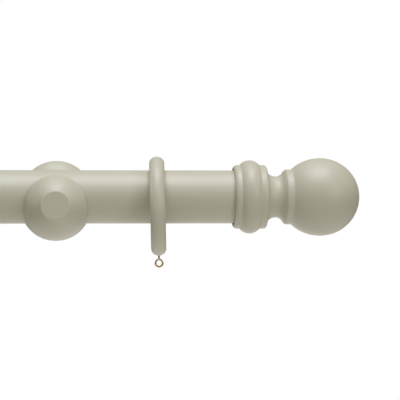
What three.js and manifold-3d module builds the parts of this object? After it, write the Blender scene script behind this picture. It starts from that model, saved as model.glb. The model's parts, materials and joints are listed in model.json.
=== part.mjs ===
// A wooden curtain pole set: a round pole in two cup brackets, a turned ball finial on each end, and rings
// with screw eyes that a curtain hangs from.
//
// Millimetres. +X runs along the pole, +Z is up, and the wall is the plane Y = 0 with the room at -Y.
// The origin is on the wall, midway between the brackets, level with the pole's axis.

import * as THREE from 'three';
import { mergeVertices } from 'three/addons/utils/BufferGeometryUtils.js';
import Module from 'manifold-3d';

const wasm = await Module();
wasm.setup();

// ---------------------------------------------------------------- driving sizes

const touchGap = 0.3; // left between pieces that rest on, or screw into, each other

// pole
const poleDiameter = 50;
const poleLength = 1200;
const poleEndRound = 1.5;
const poleToWall = 92; // from the pole's axis to the wall
const bracketInset = 180; // from a pole end to the nearer bracket's centre

// wall plate: a turned disc with its axis level with the pole's
const plateRadius = 36;
const plateThickness = 14;
const plateRound = 25; // radius of the rounded face, which rises from the rim to the flat that the cup stands on
const plateRoundFrom = 25; // degrees
const plateRoundTo = 60;
const wallScrewRadius = 2.4;
const wallScrewHeadRadius = 4.7;
const wallScrewSpread = 15; // each side of the middle
const wallScrewRise = 13; // above the pole's axis, clear of the cup's foot

// cup: turned on its own axis, which is lower than the pole's, and cut with a slot that is open at the top
const cupDrop = 8.1; // from the pole's axis down to the cup's
const cupSideWall = 8.4; // beside the pole
const cupFrontWall = 24; // in front of the pole, to where the dome would close
const cupBackWall = 14; // behind the pole, to where the back would close
const bossRadius = 14.4;
const bossHeight = 2.6;
const bossRound = 2;
const neckRadius = 14;
const neckFromWall = 40; // the neck's waist
const footRadius = 16.5;
const footLength = 7;

// hanger bolt: holds the cup to the wall plate
const boltRadius = 4;
const boltInPlate = 11;
const boltInCup = 30;

// pole screw: goes up through the underside of the cup and stops the pole from lifting
const poleScrewRadius = 1.8;
const poleScrewHeadRadius = 3.8;
const poleScrewHeadHeight = 2.6;
const poleScrewInPole = 10;
const poleScrewRecess = 3.2;
const poleScrewHeadPlay = 0.8;

// finial, along the pole's axis from the face of its collar
const socketDepth = 13.5; // how far the pole's end goes in
const collarWall = 5.1;
const rimWall = 1.9;
const rimLength = 4.3;
const beadMiddle = 15.5;
const beadRound = 11.6; // radius of the bead's arc
const beadHeight = 4.5; // above the collar
const shoulderLength = 3.7; // flat band behind the bead
const shoulderEase = 2.8; // the band's rounded edge, along the pole
const shoulderDrop = 2.2; // and across it
const coveMiddle = 40.4;
const coveRadius = 19.45; // at its narrowest
const coveInnerRound = 10.5; // hollow on the collar's side
const coveInnerReach = 7.6;
const coveOuterRound = 8; // hollow on the ball's side
const coveOuterReach = 7.15;
const neckRingRadius = 26;
const neckRingStart = 48.4;
const neckRingEase = 2.6; // rounded edge towards the cove, along the pole
const neckRingDrop = 1.8; // and across it
const neckRingEnd = 54.9;
const ballRadius = 36.85;
const ballInnerReach = 39; // the ball is a little longer towards the pole
const ballOuterReach = 37.4;
const ballCentre = 83;

// dowel screw: joins the pole's end and the finial
const dowelRadius = 4;
const dowelInPole = 28;
const dowelInFinial = 28;
const dowelPoint = 5;

// rings
const ringsBetweenBrackets = 8;
const ringPlay = 18; // bore diameter over the pole's diameter
const ringThickness = 12.6; // across the section, from bore to outside
const ringWidth = 14.1; // along the pole
const innerRingOffset = 75; // from a bracket's centre to the first ring between the brackets
const outerRingOffset = 94.5; // from a bracket's centre to the ring outside it
const ringLean = 1.4; // degrees out of plumb, at most
const ringLeanTurn = 2.4; // radians, steps the lean from ring to ring
const ringSwing = -3.4; // degrees turned about the vertical, at most
const ringSwingTurn = 1.7; // radians, steps the swing from ring to ring

// screw eyes
const eyeWireRadius = 0.9;
const eyeLoopRadius = 4.25; // outside of the loop
const eyeNeck = 2.9; // bare shank between ring and loop
const eyeThreadRadius = 1.25;
const eyeInRing = 8.5;
const eyePoint = 2;

// how finely round shapes are faceted
const poleSides = 48;
const bracketSides = 32;
const finialSides = 28;
const ringSides = 28;
const sectionSides = 8;
const screwSides = 8;

// ---------------------------------------------------------------- sizes that follow

const poleRadius = poleDiameter / 2;
const bracketX = poleLength / 2 - bracketInset;
const cupRadius = poleRadius + cupSideWall;
const slotRadius = poleRadius + touchGap;
const dowelHoleRadius = dowelRadius + touchGap;
const boltHoleRadius = boltRadius + touchGap;
const ringBoreRadius = (poleDiameter + ringPlay) / 2;
const ringOuterRadius = ringBoreRadius + ringThickness;
const socketBottom = socketDepth + touchGap;
const collarFaceX = poleLength / 2 - socketDepth;

// ---------------------------------------------------------------- materials

function paint(color, roughness, metalness) {
  return new THREE.MeshStandardMaterial({ color, roughness, metalness });
}

const paintedWood = () => paint(0xb9b6a6, 0.45, 0);
const brass = () => paint(0xb08a3c, 0.3, 1);
const zincSteel = () => paint(0x9b9b96, 0.4, 1);

// ---------------------------------------------------------------- shape helpers

const point = (radius, along) => new THREE.Vector2(radius, along);

// Points of an ellipse in a turning profile. Angles are in degrees: 0 is furthest from the axis, 90 is ahead.
function curve(radius, along, outReach, aheadReach, fromAngle, toAngle, steps) {
  const points = [];
  for (let i = 0; i <= steps; i++) {
    const angle = THREE.MathUtils.degToRad(fromAngle + ((toAngle - fromAngle) * i) / steps);
    points.push(point(radius + outReach * Math.cos(angle), along + aheadReach * Math.sin(angle)));
  }
  return points;
}

// Angle, in degrees, at which an ellipse of the given reach is at a share of its height.
const angleAt = (share) => THREE.MathUtils.radToDeg(Math.acos(share));

// A turned solid. The profile runs from its low end to its high end, and the three turns below lay it down.
const turned = (profile, sides) => new THREE.LatheGeometry(profile, sides);
const alongX = (geometry) => geometry.rotateZ(-Math.PI / 2);
const outOfWall = (geometry) => geometry.rotateZ(Math.PI);
const upright = (geometry) => geometry.rotateX(Math.PI / 2);

function rod(radius, from, to, sides) {
  return turned([point(0, from), point(radius, from), point(radius, to), point(0, to)], sides);
}

// A closed three.js geometry as a solid that can be joined and cut.
function solid(geometry) {
  geometry.deleteAttribute('normal');
  geometry.deleteAttribute('uv');
  const merged = mergeVertices(geometry, 1e-4);
  const index = merged.index.array;
  const corners = [];
  for (let i = 0; i < index.length; i += 3) {
    const [a, b, c] = index.slice(i, i + 3);
    if (a !== b && b !== c && c !== a) {
      corners.push(a, b, c);
    }
  }
  const vertProperties = new Float32Array(merged.attributes.position.array);
  const triVerts = new Uint32Array(corners);
  return new wasm.Manifold(new wasm.Mesh({ numProp: 3, vertProperties, triVerts }));
}

function geometryOf(shape) {
  const mesh = shape.getMesh();
  const geometry = new THREE.BufferGeometry();
  geometry.setAttribute('position', new THREE.BufferAttribute(mesh.vertProperties, mesh.numProp));
  geometry.setIndex(new THREE.BufferAttribute(mesh.triVerts, 1));
  geometry.computeVertexNormals();
  return geometry;
}

// Cuts each tool out of a body.
function cut(body, ...tools) {
  return geometryOf(tools.reduce((shape, tool) => shape.subtract(solid(tool)), solid(body)));
}

function part(parent, name, geometry, material, x = 0, y = 0, z = 0) {
  const mesh = new THREE.Mesh(geometry, material);
  mesh.name = name;
  mesh.position.set(x, y, z);
  parent.add(mesh);
  return mesh;
}

// ---------------------------------------------------------------- pole

// A plain dowel with eased ends, a hole in each end for the dowel screw, and one below for each pole screw.
function poleGeometry() {
  const end = poleLength / 2;
  const holeBottom = end - dowelInPole - touchGap;
  const profile = [
    point(0, -holeBottom),
    point(dowelHoleRadius, -holeBottom),
    point(dowelHoleRadius, -end),
    point(poleRadius - poleEndRound, -end),
    point(poleRadius, -end + poleEndRound),
    point(poleRadius, end - poleEndRound),
    point(poleRadius - poleEndRound, end),
    point(dowelHoleRadius, end),
    point(dowelHoleRadius, holeBottom),
    point(0, holeBottom),
  ];
  const pilotTop = -poleRadius + poleScrewInPole + touchGap;
  const pilots = [-bracketX, bracketX].map((x) =>
    upright(rod(poleScrewRadius + touchGap, -poleRadius - 1, pilotTop, screwSides)).translate(x, 0, 0),
  );
  return cut(alongX(turned(profile, poleSides)), ...pilots);
}

// ---------------------------------------------------------------- bracket pieces

// Distances are from the wall. The disc carries two countersunk wall screws above the cup's foot, where the
// pole hides them, and a blind hole for the hanger bolt.
function wallPlateGeometry() {
  const roundMiddle = plateRadius - plateRound * Math.cos(THREE.MathUtils.degToRad(plateRoundFrom));
  const roundBase = plateThickness - plateRound * Math.sin(THREE.MathUtils.degToRad(plateRoundTo));
  const profile = [
    point(0, 0),
    point(plateRadius, 0),
    ...curve(roundMiddle, roundBase, plateRound, plateRound, plateRoundFrom, plateRoundTo, 4),
    point(0, plateThickness),
  ];
  const sinkDepth = wallScrewHeadRadius - wallScrewRadius;
  const screwHole = [
    point(0, -1),
    point(wallScrewRadius, -1),
    point(wallScrewRadius, plateThickness - sinkDepth),
    point(wallScrewHeadRadius + touchGap, plateThickness + touchGap),
    point(0, plateThickness + touchGap),
  ];
  const screwHoles = [-wallScrewSpread, wallScrewSpread].map((x) =>
    outOfWall(turned(screwHole, screwSides)).translate(x, 0, wallScrewRise),
  );
  const boltStart = plateThickness - boltInPlate - touchGap;
  const boltHole = outOfWall(rod(boltHoleRadius, boltStart, plateThickness + 1, screwSides));
  return cut(outOfWall(turned(profile, bracketSides)), ...screwHoles, boltHole.translate(0, 0, -cupDrop));
}

// Turned about its own axis from the foot on the wall plate to the boss in front. The slot holds the pole.
function cupGeometry() {
  const footStart = plateThickness + touchGap;
  const frontReach = poleRadius + cupFrontWall;
  const backReach = poleRadius + cupBackWall;
  const bossBase = poleToWall + frontReach * Math.sin(Math.acos(bossRadius / cupRadius));
  const bossFace = bossBase + bossHeight;
  const shoulder = (cupRadius + neckRadius) / 2; // where the hollow of the neck turns into the round back
  const shoulderAt = poleToWall - backReach * Math.sin(Math.acos(shoulder / cupRadius));
  const footEnd = footStart + footLength;
  const footBead = footLength / 2;
  const profile = [
    point(0, footStart),
    point(footRadius - footBead, footStart),
    ...curve(footRadius - footBead, footStart + footBead, footBead, footBead, -60, 60, 3),
    point(footRadius - footBead, footEnd),
    ...curve(footRadius - footBead, neckFromWall, neckRadius - footRadius + footBead, neckFromWall - footEnd, -60, 0, 3),
    ...curve(shoulder, neckFromWall, neckRadius - shoulder, shoulderAt - neckFromWall, 25, 90, 3),
    ...curve(0, poleToWall, cupRadius, backReach, -angleAt(shoulder / cupRadius) + 12, 0, 4),
    ...curve(0, poleToWall, cupRadius, frontReach, 12, angleAt(bossRadius / cupRadius), 5),
    ...curve(bossRadius - bossRound, bossFace - bossRound, bossRound, bossRound, 0, 90, 2),
    point(0, bossFace),
  ];
  const body = outOfWall(turned(profile, bracketSides)).translate(0, 0, -cupDrop);

  const slotTop = cupRadius + 1;
  const slotLength = 2 * cupRadius + 2;
  const slotOutline = new THREE.Shape();
  slotOutline.moveTo(slotRadius, slotTop);
  slotOutline.lineTo(-slotRadius, slotTop);
  slotOutline.absarc(0, 0, slotRadius, Math.PI, 2 * Math.PI, false);
  const slot = new THREE.ExtrudeGeometry(slotOutline, {
    depth: slotLength,
    bevelEnabled: false,
    curveSegments: poleSides / 2,
  });
  slot.translate(0, 0, -slotLength / 2).rotateX(Math.PI / 2).rotateZ(Math.PI / 2).translate(0, -poleToWall, 0);

  const boltEnd = plateThickness + boltInCup + touchGap;
  const boltHole = outOfWall(rod(boltHoleRadius, footStart - 1, boltEnd, screwSides)).translate(0, 0, -cupDrop);
  const underside = -cupDrop - cupRadius;
  const headRoom = poleScrewHeadRadius + poleScrewHeadPlay;
  const recess = upright(rod(headRoom, underside - 1, underside + poleScrewRecess, 2 * screwSides));
  const screwHole = upright(rod(poleScrewRadius + touchGap, underside - 1, -slotRadius + 1, screwSides));
  return cut(
    body,
    slot,
    boltHole,
    recess.translate(0, -poleToWall, 0),
    screwHole.translate(0, -poleToWall, 0),
  );
}

// A headless stud with a wood thread in the cup and a machine thread in the plate, both left plain here.
function hangerBoltGeometry() {
  const chamfer = 1;
  const from = plateThickness - boltInPlate;
  const to = plateThickness + boltInCup;
  const profile = [
    point(0, from),
    point(boltRadius - chamfer, from),
    point(boltRadius, from + chamfer),
    point(boltRadius, to - boltRadius),
    point(0, to),
  ];
  return outOfWall(turned(profile, screwSides)).translate(0, 0, -cupDrop);
}

// A round-head wood screw that points up. Its head sits in the recess under the cup.
function poleScrewGeometry() {
  const seat = -cupDrop - cupRadius + poleScrewRecess - touchGap;
  const tip = -poleRadius + poleScrewInPole;
  const profile = [
    ...curve(0, seat - 0.4, poleScrewHeadRadius, poleScrewHeadHeight, -90, 0, 3),
    point(poleScrewHeadRadius, seat),
    point(poleScrewRadius, seat),
    point(poleScrewRadius, tip - 2 * poleScrewRadius),
    point(0, tip),
  ];
  return upright(turned(profile, screwSides));
}

function addBracket(set, side, x) {
  const bracket = new THREE.Group();
  bracket.position.x = x;
  part(bracket, `${side}_wall_plate`, wallPlateGeometry(), paintedWood());
  part(bracket, `${side}_cup`, cupGeometry(), paintedWood());
  part(bracket, `${side}_hanger_bolt`, hangerBoltGeometry(), zincSteel());
  part(bracket, `${side}_pole_screw`, poleScrewGeometry(), brass(), 0, -poleToWall, 0);
  set.add(bracket);
}

// ---------------------------------------------------------------- finial and dowel screw

// The profile starts inside: the dowel hole and the socket, then round the rim and along the outside.
function finialGeometry() {
  const collarRadius = poleRadius + collarWall;
  const rimRadius = poleRadius + rimWall;
  const rimRound = collarRadius - rimRadius;
  const holeBottom = socketDepth + dowelInFinial + touchGap;
  const beadHalfLength = Math.sqrt(beadRound ** 2 - (beadRound - beadHeight) ** 2);
  const beadAngle = 90 - angleAt(beadHalfLength / beadRound);
  const beadEnd = beadMiddle + beadHalfLength;
  const shoulderEnd = beadEnd + shoulderLength;
  const coveInnerAngle = 90 - angleAt(coveInnerReach / coveInnerRound);
  const coveOuterAngle = 90 - angleAt(coveOuterReach / coveOuterRound);
  const ballJoin = angleAt(neckRingRadius / ballRadius);
  const profile = [
    point(0, holeBottom),
    point(dowelHoleRadius, holeBottom),
    point(dowelHoleRadius, socketBottom),
    point(slotRadius, socketBottom),
    point(slotRadius, 0),
    ...curve(rimRadius, rimLength, rimRound, rimLength, -90, 0, 2),
    ...curve(collarRadius + beadHeight - beadRound, beadMiddle, beadRound, beadRound, -beadAngle, beadAngle, 5),
    ...curve(collarRadius - shoulderDrop, shoulderEnd, shoulderDrop, shoulderEase, 0, 90, 2),
    ...curve(coveRadius + coveInnerRound, coveMiddle, -coveInnerRound, coveInnerRound, -coveInnerAngle, 0, 3),
    ...curve(coveRadius + coveOuterRound, coveMiddle, -coveOuterRound, coveOuterRound, 15, coveOuterAngle, 2),
    ...curve(neckRingRadius - neckRingDrop, neckRingStart + neckRingEase, neckRingDrop, neckRingEase, -90, 0, 2),
    point(neckRingRadius, neckRingEnd),
    ...curve(0, ballCentre, ballRadius, ballInnerReach, 1 - ballJoin, 0, 4),
    ...curve(0, ballCentre, ballRadius, ballOuterReach, 18, 90, 4),
  ];
  return alongX(turned(profile, finialSides));
}

// A double-ended wood screw with a plain waist at the joint between pole and finial.
function dowelScrewGeometry() {
  const waist = 2;
  const profile = [
    point(0, -dowelInPole),
    point(dowelRadius, -dowelInPole + dowelPoint),
    point(dowelRadius, -waist),
    point(dowelRadius - 1, -waist + 1),
    point(dowelRadius - 1, waist - 1),
    point(dowelRadius, waist),
    point(dowelRadius, dowelInFinial - dowelPoint),
    point(0, dowelInFinial),
  ];
  return alongX(turned(profile, screwSides));
}

// The right end is built as it lies, and the left end is the same pieces turned half round.
function addPoleEnd(set, side, turn) {
  const end = new THREE.Group();
  end.position.y = -poleToWall;
  end.rotation.z = turn;
  part(end, `${side}_finial`, finialGeometry(), paintedWood(), collarFaceX);
  part(end, `${side}_dowel_screw`, dowelScrewGeometry(), zincSteel(), poleLength / 2);
  set.add(end);
}

// ---------------------------------------------------------------- rings and screw eyes

// Turned about the pole's direction with an oval section, and drilled from below for its screw eye.
function ringGeometry() {
  const sectionMiddle = ringBoreRadius + ringThickness / 2;
  const section = curve(sectionMiddle, 0, ringThickness / 2, ringWidth / 2, 0, 360, sectionSides);
  const hole = rod(
    eyeThreadRadius + touchGap,
    -ringOuterRadius - 1,
    -ringOuterRadius + eyeInRing + touchGap,
    screwSides,
  );
  return cut(alongX(turned(section, ringSides)), upright(hole));
}

// A loop of wire on a screwed shank. The origin is at the middle of the loop.
function screwEyeGeometry() {
  const loopMiddle = eyeLoopRadius - eyeWireRadius;
  const loop = new THREE.TorusGeometry(loopMiddle, eyeWireRadius, 6, 12).rotateX(Math.PI / 2);
  const shankBottom = eyeLoopRadius + eyeNeck;
  const tip = shankBottom + eyeInRing;
  const shank = upright(
    turned(
      [
        point(0, loopMiddle),
        point(eyeWireRadius, loopMiddle),
        point(eyeWireRadius, shankBottom),
        point(eyeThreadRadius, shankBottom + 1),
        point(eyeThreadRadius, tip - eyePoint),
        point(0, tip),
      ],
      screwSides,
    ),
  );
  return geometryOf(solid(loop).add(solid(shank)));
}

// Each ring hangs from the top of the pole, and leans and swings a little about that point. The eye hangs in
// line with its ring.
function addRing(set, number, x, lean, swing) {
  const hanging = new THREE.Group();
  hanging.position.set(x, -poleToWall, poleRadius + touchGap);
  hanging.rotation.y = -THREE.MathUtils.degToRad(lean);
  hanging.rotation.z = THREE.MathUtils.degToRad(swing);
  const label = String(number).padStart(2, '0');
  const eyeDrop = ringBoreRadius + ringOuterRadius + eyeNeck + eyeLoopRadius;
  part(hanging, `ring_${label}`, ringGeometry(), paintedWood(), 0, 0, -ringBoreRadius);
  part(hanging, `screw_eye_${label}`, screwEyeGeometry(), brass(), 0, 0, -eyeDrop);
  set.add(hanging);
}

// From left to right: one ring outside the left bracket, an even row between the brackets, one outside the right.
function ringPlaces() {
  const rowEnd = bracketX - innerRingOffset;
  const step = (2 * rowEnd) / (ringsBetweenBrackets - 1);
  const places = [-bracketX - outerRingOffset];
  for (let i = 0; i < ringsBetweenBrackets; i++) {
    places.push(-rowEnd + i * step);
  }
  places.push(bracketX + outerRingOffset);
  return places;
}

// ---------------------------------------------------------------- the set

const poleSet = new THREE.Group();
addBracket(poleSet, 'left', -bracketX);
addBracket(poleSet, 'right', bracketX);
part(poleSet, 'pole', poleGeometry(), paintedWood(), 0, -poleToWall, 0);
addPoleEnd(poleSet, 'left', Math.PI);
addPoleEnd(poleSet, 'right', 0);
const places = ringPlaces();
places.forEach((x, i) => {
  const fromRight = places.length - 1 - i;
  const lean = ringLean * Math.cos(fromRight * ringLeanTurn);
  const swing = ringSwing * Math.cos(fromRight * ringSwingTurn);
  addRing(poleSet, i + 1, x, lean, swing);
});

export default poleSet;
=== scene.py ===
# %% [markdown]
# # A painted curtain pole set
# A wooden pole rests in two cup brackets. A turned ball finial closes each end, and ten rings with brass
# screw eyes slide along it. Every turned piece here comes off one Geometry Nodes lathe, the cups are sanded
# out of a distance field, and the screw eyes are bent from wire. All sizes start from the plain solids.

# %% Load the plain solids
import json
import math

import bmesh
import bpy
import numpy as np
import openvdb
from mathutils import Matrix, Vector


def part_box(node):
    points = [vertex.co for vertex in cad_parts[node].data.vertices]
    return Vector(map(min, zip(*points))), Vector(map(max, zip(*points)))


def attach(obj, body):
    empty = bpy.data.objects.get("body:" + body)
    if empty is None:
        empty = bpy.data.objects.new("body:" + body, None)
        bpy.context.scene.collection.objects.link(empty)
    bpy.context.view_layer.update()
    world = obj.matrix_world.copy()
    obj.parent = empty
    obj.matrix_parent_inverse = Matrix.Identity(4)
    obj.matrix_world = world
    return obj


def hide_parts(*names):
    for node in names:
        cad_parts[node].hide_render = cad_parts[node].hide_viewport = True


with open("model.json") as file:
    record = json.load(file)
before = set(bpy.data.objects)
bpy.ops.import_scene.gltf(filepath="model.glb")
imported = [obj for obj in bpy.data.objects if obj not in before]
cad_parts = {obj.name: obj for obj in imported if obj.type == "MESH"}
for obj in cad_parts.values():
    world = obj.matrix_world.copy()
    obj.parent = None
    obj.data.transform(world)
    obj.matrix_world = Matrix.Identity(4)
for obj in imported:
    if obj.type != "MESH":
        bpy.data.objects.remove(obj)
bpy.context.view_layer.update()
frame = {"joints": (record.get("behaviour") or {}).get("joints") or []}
joints = {joint["name"]: joint for joint in frame["joints"]}

# %% [markdown]
# ## Sizes that come from the solids
# The solids are in metres. The outlines below are in millimetres and are scaled once, when they become a
# mesh. X runs along the pole, Y goes into the wall, Z is up.

# %% Read the main sizes
MM = 0.001
clearance = 0.3  # left between pieces that rest on, or screw into, each other
ring_slack = 9.0  # between the pole's radius and the ring's bore


def box_mm(node):
    """Lowest and highest corners of a plain solid, in millimetres."""
    low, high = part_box(node)
    return low / MM, high / MM


pole_low, pole_high = box_mm("pole")
pole_radius = (pole_high.z - pole_low.z) / 2
pole_end = pole_high.x
wall_gap = -(pole_low.y + pole_high.y) / 2

plate_low, plate_high = box_mm("right_wall_plate")
bracket_x = (plate_low.x + plate_high.x) / 2
plate_radius = (plate_high.z - plate_low.z) / 2
plate_thickness = -plate_low.y

cup_low, cup_high = box_mm("right_cup")
bolt_low, bolt_high = box_mm("right_hanger_bolt")
cup_drop = -(bolt_low.z + bolt_high.z) / 2
cup_radius = -cup_low.z - cup_drop
boss_face = -cup_low.y
foot_start = -cup_high.y

finial_low, finial_high = box_mm("right_finial")
ball_radius = (finial_high.z - finial_low.z) / 2
collar_face = finial_low.x
finial_length = finial_high.x - finial_low.x

ring_bore = pole_radius + ring_slack
eye_entry = Vector(joints["screw_eye_10_turn"]["pos_m"]) / MM
eye_axis = Vector(joints["screw_eye_10_turn"]["axis"])
ring_outer = (pole_radius + clearance - eye_entry.z) / -eye_axis.z - ring_bore
print(f"pole {2 * pole_radius:.1f} x {2 * pole_end:.1f} mm, {wall_gap:.1f} mm from the wall")
print(f"bracket at {bracket_x:.1f}, cup radius {cup_radius:.1f}, dropped {cup_drop:.1f} mm")
print(f"finial {finial_length:.1f} mm long, ball radius {ball_radius:.1f}, ring radius {ring_outer:.1f} mm")

# %% [markdown]
# ## The camera
# The camera is level with the pole and has a long lens, so that round pieces stay round. It stands a little
# to the left of the point it aims at and turns right, which shows a sliver of the finial's rim.

# %% Place the camera
def add_object(name, data):
    """A new object in the scene."""
    made = bpy.data.objects.new(name, data)
    bpy.context.scene.collection.objects.link(made)
    return made


lens = 135.0
camera_distance = 1415.0  # from the point it looks at
camera_turn = math.radians(5.1)  # to the right of square on
aim_beyond_bracket = 135.3
aim_below_pole = 2.9

aim = Vector((bracket_x + aim_beyond_bracket, -wall_gap, -aim_below_pole)) * MM
looking = Vector((math.sin(camera_turn), math.cos(camera_turn), 0.0))
camera_data = bpy.data.cameras.new("camera")
camera_data.lens = lens
camera_data.clip_start = 0.05
camera_data.clip_end = 50.0
camera = add_object("camera", camera_data)
camera.location = aim - looking * camera_distance * MM
camera.rotation_euler = (math.radians(90), 0.0, -camera_turn)
bpy.context.scene.camera = camera
print("camera at", [round(value, 3) for value in camera.location])

# %% [markdown]
# ## A helper for nodes
# Shader trees and Geometry Nodes trees are both made of nodes whose inputs take a value or a link. One
# helper does both.

# %% Helpers for node trees
def add_node(tree, kind, inputs=None, **options):
    """Adds a node, sets its options, and fills or links its inputs, named or numbered."""
    node = tree.nodes.new(kind)
    for option, value in options.items():
        setattr(node, option, value)
    for key, value in (inputs or {}).items():
        if isinstance(value, bpy.types.NodeSocket):
            tree.links.new(value, node.inputs[key])
        else:
            node.inputs[key].default_value = value
    return node


def result_of(tree, kind, inputs=None, **options):
    """Adds a node and returns its first output."""
    return add_node(tree, kind, inputs, **options).outputs[0]


def calc(tree, operation, first, second=0.0, third=0.0):
    """One step of arithmetic on numbers."""
    inputs = {0: first, 1: second, 2: third}
    return add_node(tree, "ShaderNodeMath", inputs, operation=operation).outputs[0]


def times(tree, first, second):
    """The product of two numbers."""
    return calc(tree, "MULTIPLY", first, second)


sockets = {float: "NodeSocketFloat", int: "NodeSocketInt", tuple: "NodeSocketVector"}


def new_tree(kind, name, inputs, output, socket):
    """An empty tree with one output, its inputs, and its output node. Each input is given by its value, or
    by its socket where it has none."""
    tree = bpy.data.node_groups.new(name, kind)
    for label, value in inputs.items():
        of_kind = sockets.get(type(value), value)
        made = tree.interface.new_socket(label, in_out="INPUT", socket_type=of_kind)
        if of_kind != value:
            made.default_value = value
    tree.interface.new_socket(output, in_out="OUTPUT", socket_type=socket)
    return tree, tree.nodes.new("NodeGroupInput").outputs, tree.nodes.new("NodeGroupOutput")


# %% [markdown]
# ## Paint, step 1: shared surface effects
# Factory paint is almost even. What makes it real is small: a slow drift of tone, wood pores that show
# through as faint lines, the tooth of sprayed paint, and lighter paint on sharp edges, partly for thinner
# paint there and partly a painted highlight along the edges. Each effect is a node group that puts out one
# mask or height, and several finishes use it.

# %% Noise, and the effect of a slow drift of tone
def new_effect(name, inputs):
    """An empty shader group that puts out one value."""
    return new_tree("ShaderNodeTree", name, inputs, "Value", "NodeSocketFloat")


def noise(tree, size, detail, roughness=0.5, stretch=None):
    """Noise in the piece's own coordinates, with its size in millimetres."""
    place = add_node(tree, "ShaderNodeTexCoord").outputs["Object"]
    if stretch is not None:
        drawn_out = add_node(tree, "ShaderNodeVectorMath", {0: place, 1: stretch}, operation="MULTIPLY")
        place = drawn_out.outputs[0]
    scale = calc(tree, "DIVIDE", 1 / MM, size)
    inputs = {"Vector": place, "Scale": scale, "Detail": detail, "Roughness": roughness}
    return add_node(tree, "ShaderNodeTexNoise", inputs).outputs["Fac"]


def build_drift():
    """A soft cloudy value from 0 to 1."""
    tree, given, result = new_effect("drift of tone", {"Size": 40.0, "Detail": 3.0})
    clouds = noise(tree, given["Size"], given["Detail"], 0.55)
    tree.links.new(clouds, result.inputs["Value"])
    return tree


drift = build_drift()

# %% Effect: wood pores along one direction
def build_pores():
    """Fine lines along the grain. Stretch draws them out along one axis."""
    tree, given, result = new_effect("wood pores", {"Stretch": (0.02, 1.0, 1.0), "Size": 1.0})
    lines = noise(tree, given["Size"], 4.0, 0.65, given["Stretch"])
    tree.links.new(lines, result.inputs["Value"])
    return tree


pores = build_pores()

# %% Effect: rings left by the lathe
def build_tool_rings():
    """Fine rings that follow the distance along a turned outline, kept in the attribute "along"."""
    tree, given, result = new_effect("lathe rings", {"Spacing": 0.6})
    along = add_node(tree, "ShaderNodeAttribute", attribute_name="along").outputs["Fac"]
    rings = {"W": calc(tree, "DIVIDE", along, given["Spacing"]), "Scale": 1.0, "Detail": 2.0}
    lines = add_node(tree, "ShaderNodeTexNoise", rings, noise_dimensions="1D").outputs["Fac"]
    tree.links.new(lines, result.inputs["Value"])
    return tree


tool_rings = build_tool_rings()

# %% Effect: a mask from a painted-on attribute, with a ragged border
def build_ragged_mask():
    """Turns an attribute from 0 to 1 into a mask whose border wanders a little."""
    inputs = {"Mark": 0.0, "Size": 2.0, "Raggedness": 0.3}
    tree, given, result = new_effect("ragged mask", inputs)
    wander = calc(tree, "SUBTRACT", noise(tree, given["Size"], 4.0), 0.5)
    wander = times(tree, wander, given["Raggedness"])
    border = {0: calc(tree, "ADD", given["Mark"], wander), 1: 0.35, 2: 0.65}
    ramp = add_node(tree, "ShaderNodeMapRange", border, interpolation_type="SMOOTHSTEP")
    tree.links.new(ramp.outputs[0], result.inputs["Value"])
    return tree


ragged_mask = build_ragged_mask()
print("shared effects:", [group.name for group in (drift, pores, tool_rings, ragged_mask)])

# %% [markdown]
# ## Paint, step 2: the material
# The finish is a warm stone grey in satin. Its colour drifts by a percent or two, edges are a touch lighter
# as a painted highlight and for thinner paint, and the bump adds pores, lathe rings and the tooth of the
# spray.
# What the spray never reaches, inside sockets and screw holes, is bare beech, marked by the attribute
# "bare".
# Only the grain's direction differs between pieces, so a function makes each version.

# %% Helpers for materials
def use_group(tree, group, **values):
    """Places a shared effect in a material and returns its value."""
    node = add_node(tree, "ShaderNodeGroup", node_tree=group)
    for label, value in values.items():
        if isinstance(value, bpy.types.NodeSocket):
            tree.links.new(value, node.inputs[label])
        else:
            node.inputs[label].default_value = value
    return node.outputs["Value"]


def mix_colours(tree, share, first, second):
    """A colour between two."""
    inputs = {0: share, 6: first, 7: second}
    return add_node(tree, "ShaderNodeMix", inputs, data_type="RGBA").outputs[2]


def new_material(name, constants):
    """A material with its Principled shader, whose constants are set on the shader's own sockets."""
    material = bpy.data.materials.new(name)
    material.use_nodes = True
    tree = material.node_tree
    shader = tree.nodes["Principled BSDF"]
    for label, value in constants.items():
        shader.inputs[label].default_value = value
    return material, tree, shader


def bump(tree, shader, height, depth):
    """Feeds a height from 0 to 1 to the shader's normal. Depth is in millimetres."""
    node = add_node(tree, "ShaderNodeBump", {"Height": height, "Distance": depth * MM, "Strength": 1.0})
    tree.links.new(node.outputs[0], shader.inputs["Normal"])


# %% Painted beech
stone = (0.512, 0.485, 0.392, 1.0)
stone_deep = (0.492, 0.465, 0.371, 1.0)
# a lighter paint for sharp edges, partly thinner paint and partly a painted highlight that the edges catch
edge_paint_and_highlight = (0.560, 0.533, 0.440, 1.0)
beech = (0.60, 0.42, 0.25, 1.0)
beech_pore = (0.36, 0.22, 0.12, 1.0)
edge_highlight_share = 0.22  # how far a sharp edge is lightened: a painted highlight, and thinner paint
satin, satin_drift, satin_tooth = 0.40, 0.08, 0.06  # roughness, and what drift and tooth add to it
bare_roughness = 0.75
pore_height, tool_height, tooth_height = 0.5, 0.25, 0.25  # shares of the bump
paint_relief = 0.02  # millimetres


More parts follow.
